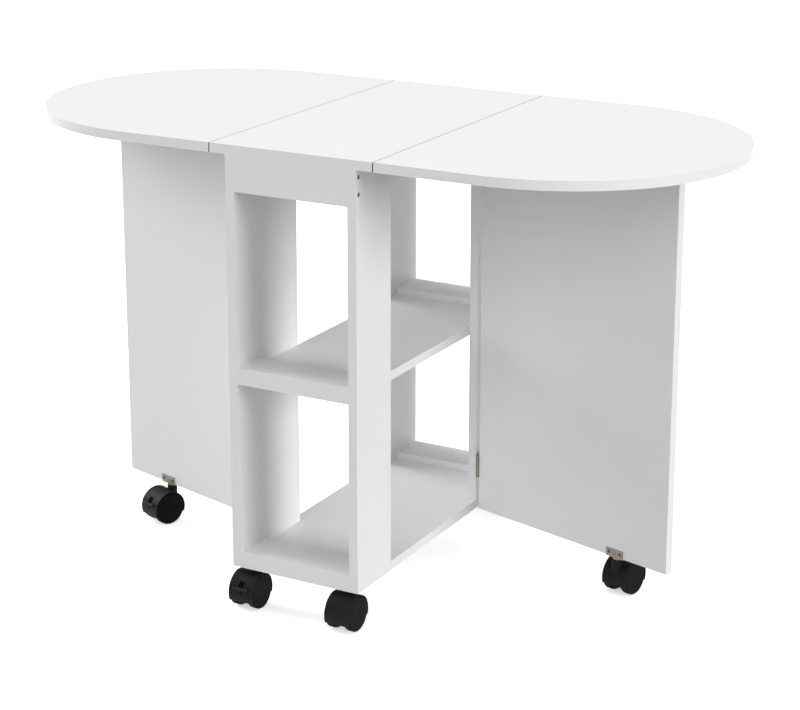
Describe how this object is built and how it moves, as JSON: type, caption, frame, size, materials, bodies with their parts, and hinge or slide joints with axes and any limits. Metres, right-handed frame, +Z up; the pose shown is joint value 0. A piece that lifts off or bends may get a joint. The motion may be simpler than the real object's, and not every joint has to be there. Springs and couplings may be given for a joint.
{
  "type": "gateleg table",
  "caption": "White gateleg table on casters, with a narrow open frame that holds shelves, round-ended leaves, and swinging gates that hold the leaves up.",
  "frame": {"origin": "on the floor under the middle of the top", "axes": "X along the two leaves, Y from front to back, Z up"},
  "size_m": [1.2, 0.6279, 0.75],
  "materials": {
    "white_board": "white melamine facing with matching edge band, satin",
    "white_plastic": "moulded, smooth",
    "zinc_steel": "zinc plated, dull",
    "black_plastic": "moulded, satin",
    "dark_steel": "dark bronzed plating",
    "black_wheel": "moulded, matte",
    "black_lever": "moulded, satin"
  },
  "bodies": {
    "frame": {"center_top": "white_board", "post_front_left": "white_board", "post_front_right": "white_board", "post_back_left": "white_board", "post_back_right": "white_board", "top_rail_front": "white_board", "top_rail_back": "white_board", "middle_rail_front": "white_board", "middle_rail_back": "white_board", "middle_shelf": "white_board", "bottom_rail_front": "white_board", "bottom_rail_back": "white_board", "bottom_shelf": "white_board", "frame_screws": "zinc_steel", "gate_hinge_frame_leaves": "zinc_steel", "leaf_hinge_top_plates": "zinc_steel", "hinge_pins": "zinc_steel", "frame_caster_stems": "zinc_steel"},
    "leaf_left": {"leaf_left": "white_board", "leaf_left_hinge_plates": "zinc_steel", "leaf_left_screws": "zinc_steel"},
    "leaf_right": {"leaf_right": "white_board", "leaf_right_hinge_plates": "zinc_steel", "leaf_right_screws": "zinc_steel"},
    "gate_left": {"gate_left": "white_board", "gate_left_hinge_leaf": "zinc_steel", "gate_left_bracket": "zinc_steel", "gate_left_screws": "dark_steel", "gate_left_glide": "white_plastic"},
    "gate_right": {"gate_right": "white_board", "gate_right_hinge_leaf": "zinc_steel", "gate_right_bracket": "zinc_steel", "gate_right_screws": "dark_steel", "gate_right_glide": "white_plastic"},
    "caster_front_left_swivel": {"caster_front_left_hood": "black_plastic", "caster_front_left_axle": "zinc_steel"},
    "caster_front_left_wheel_a": {"caster_front_left_wheel_a": "black_wheel"},
    "caster_front_left_wheel_b": {"caster_front_left_wheel_b": "black_wheel"},
    "caster_front_left_lever": {"caster_front_left_lever": "black_lever"},
    "caster_front_right_swivel": {"caster_front_right_hood": "black_plastic", "caster_front_right_axle": "zinc_steel"},
    "caster_front_right_wheel_a": {"caster_front_right_wheel_a": "black_wheel"},
    "caster_front_right_wheel_b": {"caster_front_right_wheel_b": "black_wheel"},
    "caster_back_left_swivel": {"caster_back_left_hood": "black_plastic", "caster_back_left_axle": "zinc_steel"},
    "caster_back_left_wheel_a": {"caster_back_left_wheel_a": "black_wheel"},
    "caster_back_left_wheel_b": {"caster_back_left_wheel_b": "black_wheel"},
    "caster_back_right_swivel": {"caster_back_right_hood": "black_plastic", "caster_back_right_axle": "zinc_steel"},
    "caster_back_right_wheel_a": {"caster_back_right_wheel_a": "black_wheel"},
    "caster_back_right_wheel_b": {"caster_back_right_wheel_b": "black_wheel"},
    "caster_gate_right_swivel": {"caster_gate_right_hood": "black_plastic", "caster_gate_right_axle": "zinc_steel"},
    "caster_gate_right_wheel_a": {"caster_gate_right_wheel_a": "black_wheel"},
    "caster_gate_right_wheel_b": {"caster_gate_right_wheel_b": "black_wheel"},
    "caster_gate_left_swivel": {"caster_gate_left_hood": "black_plastic", "caster_gate_left_axle": "zinc_steel"},
    "caster_gate_left_wheel_a": {"caster_gate_left_wheel_a": "black_wheel"},
    "caster_gate_left_wheel_b": {"caster_gate_left_wheel_b": "black_wheel"},
    "caster_gate_left_lever": {"caster_gate_left_lever": "black_lever"}
  },
  "joints": [
    {"name": "leaf_left_lift", "type": "hinge", "parent": "frame", "child": "leaf_left", "pos_m": [-0.14225, 0, 0.735], "axis": [0, 1, 0], "range_deg": [0, 4.5]},
    {"name": "leaf_right_lift", "type": "hinge", "parent": "frame", "child": "leaf_right", "pos_m": [0.14225, 0, 0.735], "axis": [0, -1, 0], "range_deg": [0, 4.5]},
    {"name": "gate_left_swing", "type": "hinge", "parent": "frame", "child": "gate_left", "pos_m": [-0.1172, -0.11, 0.4], "axis": [0, 0, 1], "range_deg": [-74.5, 15.5]},
    {"name": "gate_right_swing", "type": "hinge", "parent": "frame", "child": "gate_right", "pos_m": [0.1172, 0.11, 0.4], "axis": [0, 0, 1], "range_deg": [-74.5, 15.5]},
    {"name": "caster_front_left_swivels", "type": "hinge", "parent": "frame", "child": "caster_front_left_swivel", "pos_m": [-0.088, -0.262, 0.056], "axis": [0, 0, 1], "continuous": true},
    {"name": "caster_front_left_wheel_a_spins", "type": "hinge", "parent": "caster_front_left_swivel", "child": "caster_front_left_wheel_a", "pos_m": [-0.07375, -0.282, 0.028], "axis": [1, 0, 0], "continuous": true},
    {"name": "caster_front_left_wheel_b_spins", "type": "hinge", "parent": "caster_front_left_swivel", "child": "caster_front_left_wheel_b", "pos_m": [-0.10225, -0.282, 0.028], "axis": [1, 0, 0], "continuous": true},
    {"name": "caster_front_left_brake", "type": "hinge", "parent": "caster_front_left_swivel", "child": "caster_front_left_lever", "pos_m": [-0.088, -0.29139, 0.04566], "axis": [-1, 0, 0], "range_deg": [0, 8]},
    {"name": "caster_front_right_swivels", "type": "hinge", "parent": "frame", "child": "caster_front_right_swivel", "pos_m": [0.088, -0.262, 0.056], "axis": [0, 0, 1], "continuous": true},
    {"name": "caster_front_right_wheel_a_spins", "type": "hinge", "parent": "caster_front_right_swivel", "child": "caster_front_right_wheel_a", "pos_m": [0.10225, -0.282, 0.028], "axis": [1, 0, 0], "continuous": true},
    {"name": "caster_front_right_wheel_b_spins", "type": "hinge", "parent": "caster_front_right_swivel", "child": "caster_front_right_wheel_b", "pos_m": [0.07375, -0.282, 0.028], "axis": [1, 0, 0], "continuous": true},
    {"name": "caster_back_left_swivels", "type": "hinge", "parent": "frame", "child": "caster_back_left_swivel", "pos_m": [-0.088, 0.262, 0.056], "axis": [0, 0, 1], "continuous": true},
    {"name": "caster_back_left_wheel_a_spins", "type": "hinge", "parent": "caster_back_left_swivel", "child": "caster_back_left_wheel_a", "pos_m": [-0.10225, 0.282, 0.028], "axis": [-1, 0, 0], "continuous": true},
    {"name": "caster_back_left_wheel_b_spins", "type": "hinge", "parent": "caster_back_left_swivel", "child": "caster_back_left_wheel_b", "pos_m": [-0.07375, 0.282, 0.028], "axis": [-1, 0, 0], "continuous": true},
    {"name": "caster_back_right_swivels", "type": "hinge", "parent": "frame", "child": "caster_back_right_swivel", "pos_m": [0.088, 0.262, 0.056], "axis": [0, 0, 1], "continuous": true},
    {"name": "caster_back_right_wheel_a_spins", "type": "hinge", "parent": "caster_back_right_swivel", "child": "caster_back_right_wheel_a", "pos_m": [0.07375, 0.282, 0.028], "axis": [-1, 0, 0], "continuous": true},
    {"name": "caster_back_right_wheel_b_spins", "type": "hinge", "parent": "caster_back_right_swivel", "child": "caster_back_right_wheel_b", "pos_m": [0.10225, 0.282, 0.028], "axis": [-1, 0, 0], "continuous": true},
    {"name": "caster_gate_right_swivels", "type": "hinge", "parent": "gate_right", "child": "caster_gate_right_swivel", "pos_m": [0.40597, 0.03801, 0.056], "axis": [0, 0, 1], "continuous": true},
    {"name": "caster_gate_right_wheel_a_spins", "type": "hinge", "parent": "caster_gate_right_swivel", "child": "caster_gate_right_wheel_a", "pos_m": [0.39579, 0.06036, 0.028], "axis": [-0.9816, 0.1908, 0], "continuous": true},
    {"name": "caster_gate_right_wheel_b_spins", "type": "hinge", "parent": "caster_gate_right_swivel", "child": "caster_gate_right_wheel_b", "pos_m": [0.42377, 0.05493, 0.028], "axis": [-0.9816, 0.1908, 0], "continuous": true},
    {"name": "caster_gate_left_swivels", "type": "hinge", "parent": "gate_left", "child": "caster_gate_left_swivel", "pos_m": [-0.40597, -0.03801, 0.056], "axis": [0, 0, 1], "continuous": true},
    {"name": "caster_gate_left_wheel_a_spins", "type": "hinge", "parent": "caster_gate_left_swivel", "child": "caster_gate_left_wheel_a", "pos_m": [-0.39983, -0.06179, 0.028], "axis": [0.9336, -0.3584, 0], "continuous": true},
    {"name": "caster_gate_left_wheel_b_spins", "type": "hinge", "parent": "caster_gate_left_swivel", "child": "caster_gate_left_wheel_b", "pos_m": [-0.42644, -0.05158, 0.028], "axis": [0.9336, -0.3584, 0], "continuous": true},
    {"name": "caster_gate_left_brake", "type": "hinge", "parent": "caster_gate_left_swivel", "child": "caster_gate_left_lever", "pos_m": [-0.4165, -0.06545, 0.04566], "axis": [-0.9336, 0.3584, 0], "range_deg": [0, 8]}
  ]
}
